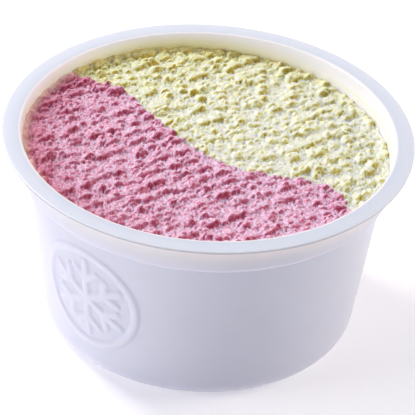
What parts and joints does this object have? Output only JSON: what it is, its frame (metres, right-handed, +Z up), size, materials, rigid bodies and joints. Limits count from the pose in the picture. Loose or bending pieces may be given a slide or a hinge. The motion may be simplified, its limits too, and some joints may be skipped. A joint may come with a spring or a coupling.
{
  "type": "gelato cup",
  "caption": "Moulded plastic dessert cup with a flat rim, filled with pink and pale yellow gelato that meet along an S-shaped seam.",
  "frame": {"origin": "centre of the cup's underside, on the plane that it stands on", "axes": "+Z up along the cup's axis; -Y towards the side where the pink half lies; +X to the right of that view"},
  "size_m": [0.08, 0.08, 0.041],
  "materials": {
    "polypropylene": "satin translucent white polypropylene, as moulded",
    "pink_gelato": "scraped frozen strawberry gelato, crystalline and matt",
    "yellow_gelato": "scraped frozen lemon gelato, crystalline and matt"
  },
  "bodies": {
    "root": {"cup": "polypropylene", "pink_gelato": "pink_gelato", "yellow_gelato": "yellow_gelato"}
  },
  "joints": []
}
